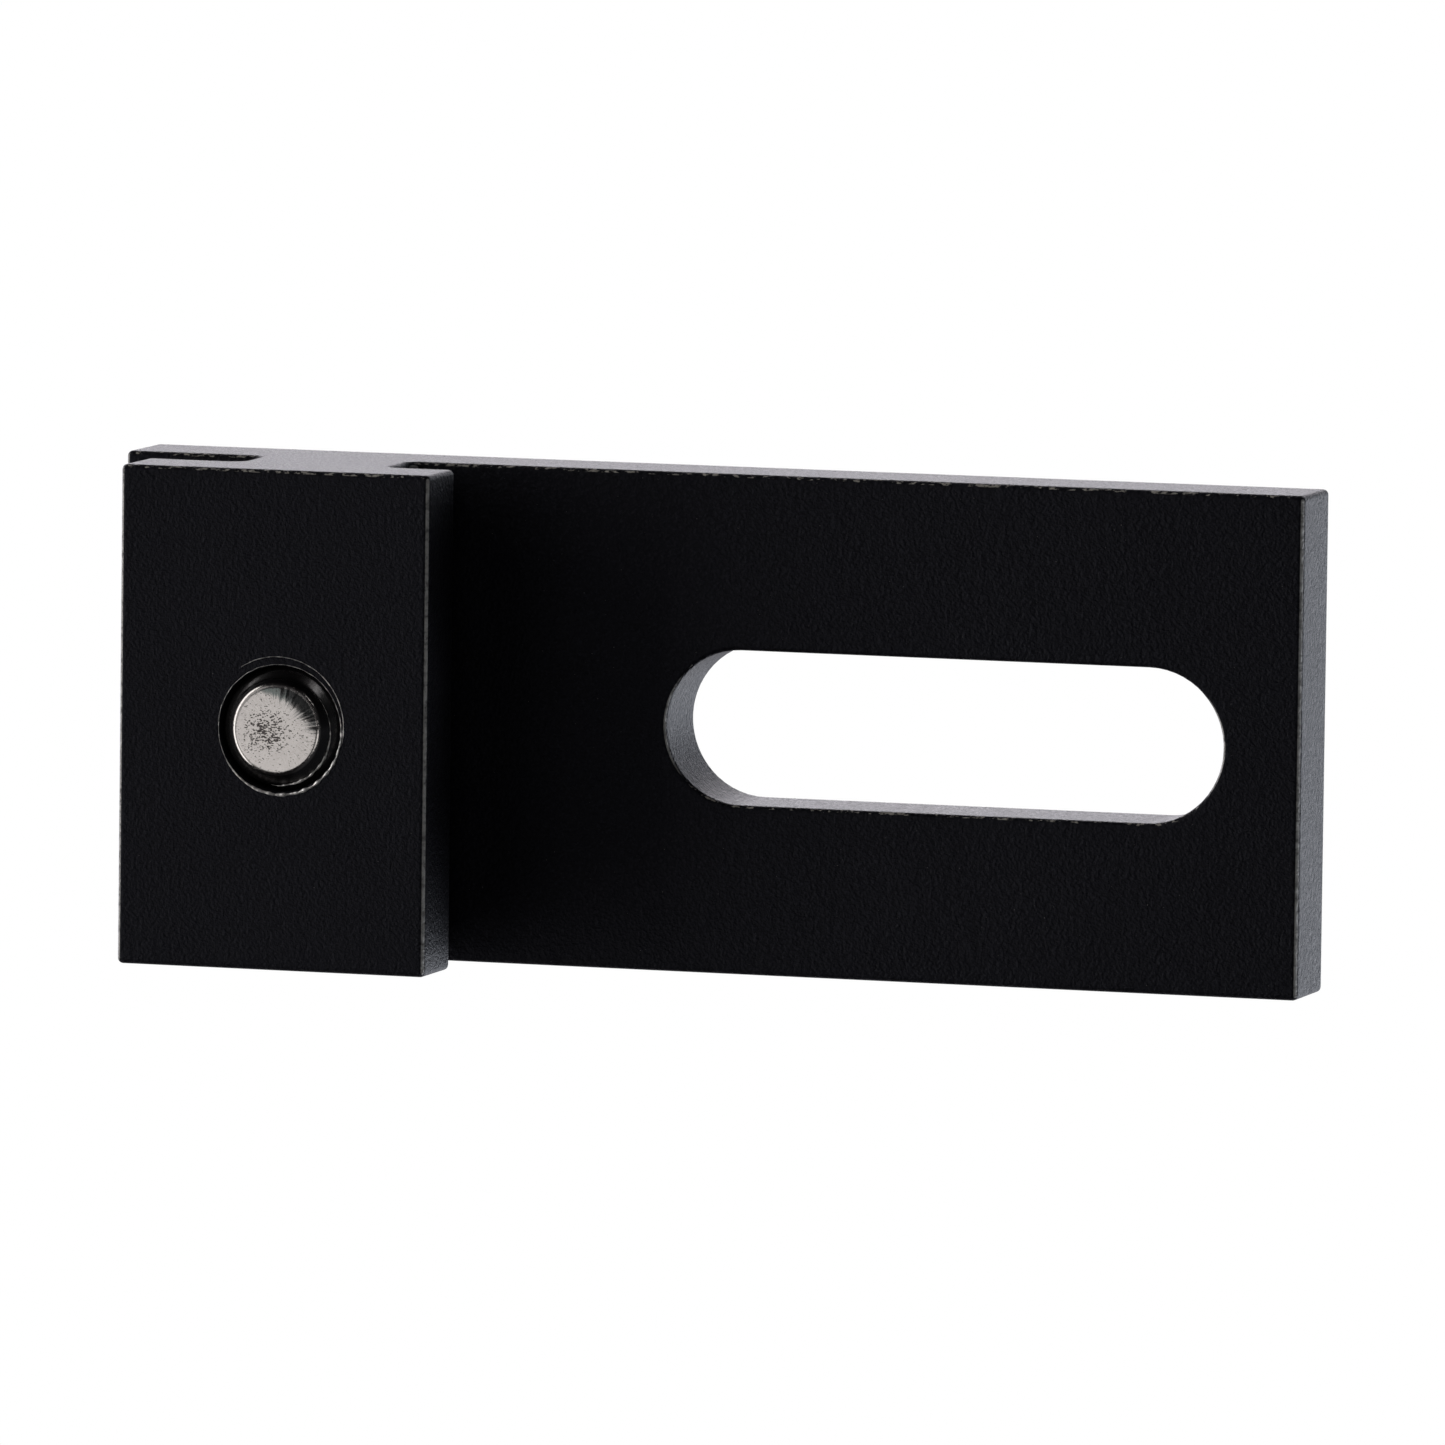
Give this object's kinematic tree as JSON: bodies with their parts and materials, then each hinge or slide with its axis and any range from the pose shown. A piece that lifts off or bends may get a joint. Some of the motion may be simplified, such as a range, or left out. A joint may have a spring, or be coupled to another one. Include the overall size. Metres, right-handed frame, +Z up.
{
  "type": "door chain guard bracket",
  "caption": "Slotted flat bracket with a T-shaped rail head at one end and a flat-point set screw through the head that clamps it in the rail.",
  "frame": {"origin": "middle of the footprint, on the surface that the bracket stands on, as box including the screw's point", "axes": "+X along the plate from the head's end to the slotted end, +Y from the head through to the plate's back, +Z up, along the rail"},
  "size_m": [0.0786, 0.0164, 0.032],
  "materials": {
    "black_anodised": "bead-blasted, black anodised, satin",
    "faced_steel": "steel with darkened sides and a bright faced point, satin"
  },
  "bodies": {
    "bracket": {"bracket": "black_anodised"},
    "clamp_screw": {"clamp_screw": "faced_steel"}
  },
  "joints": [
    {"name": "clamp_screw_advance", "type": "slide", "parent": "bracket", "child": "clamp_screw", "axis": [0, -1, 0], "range_m": [-0.00125, 0.00375]}
  ]
}
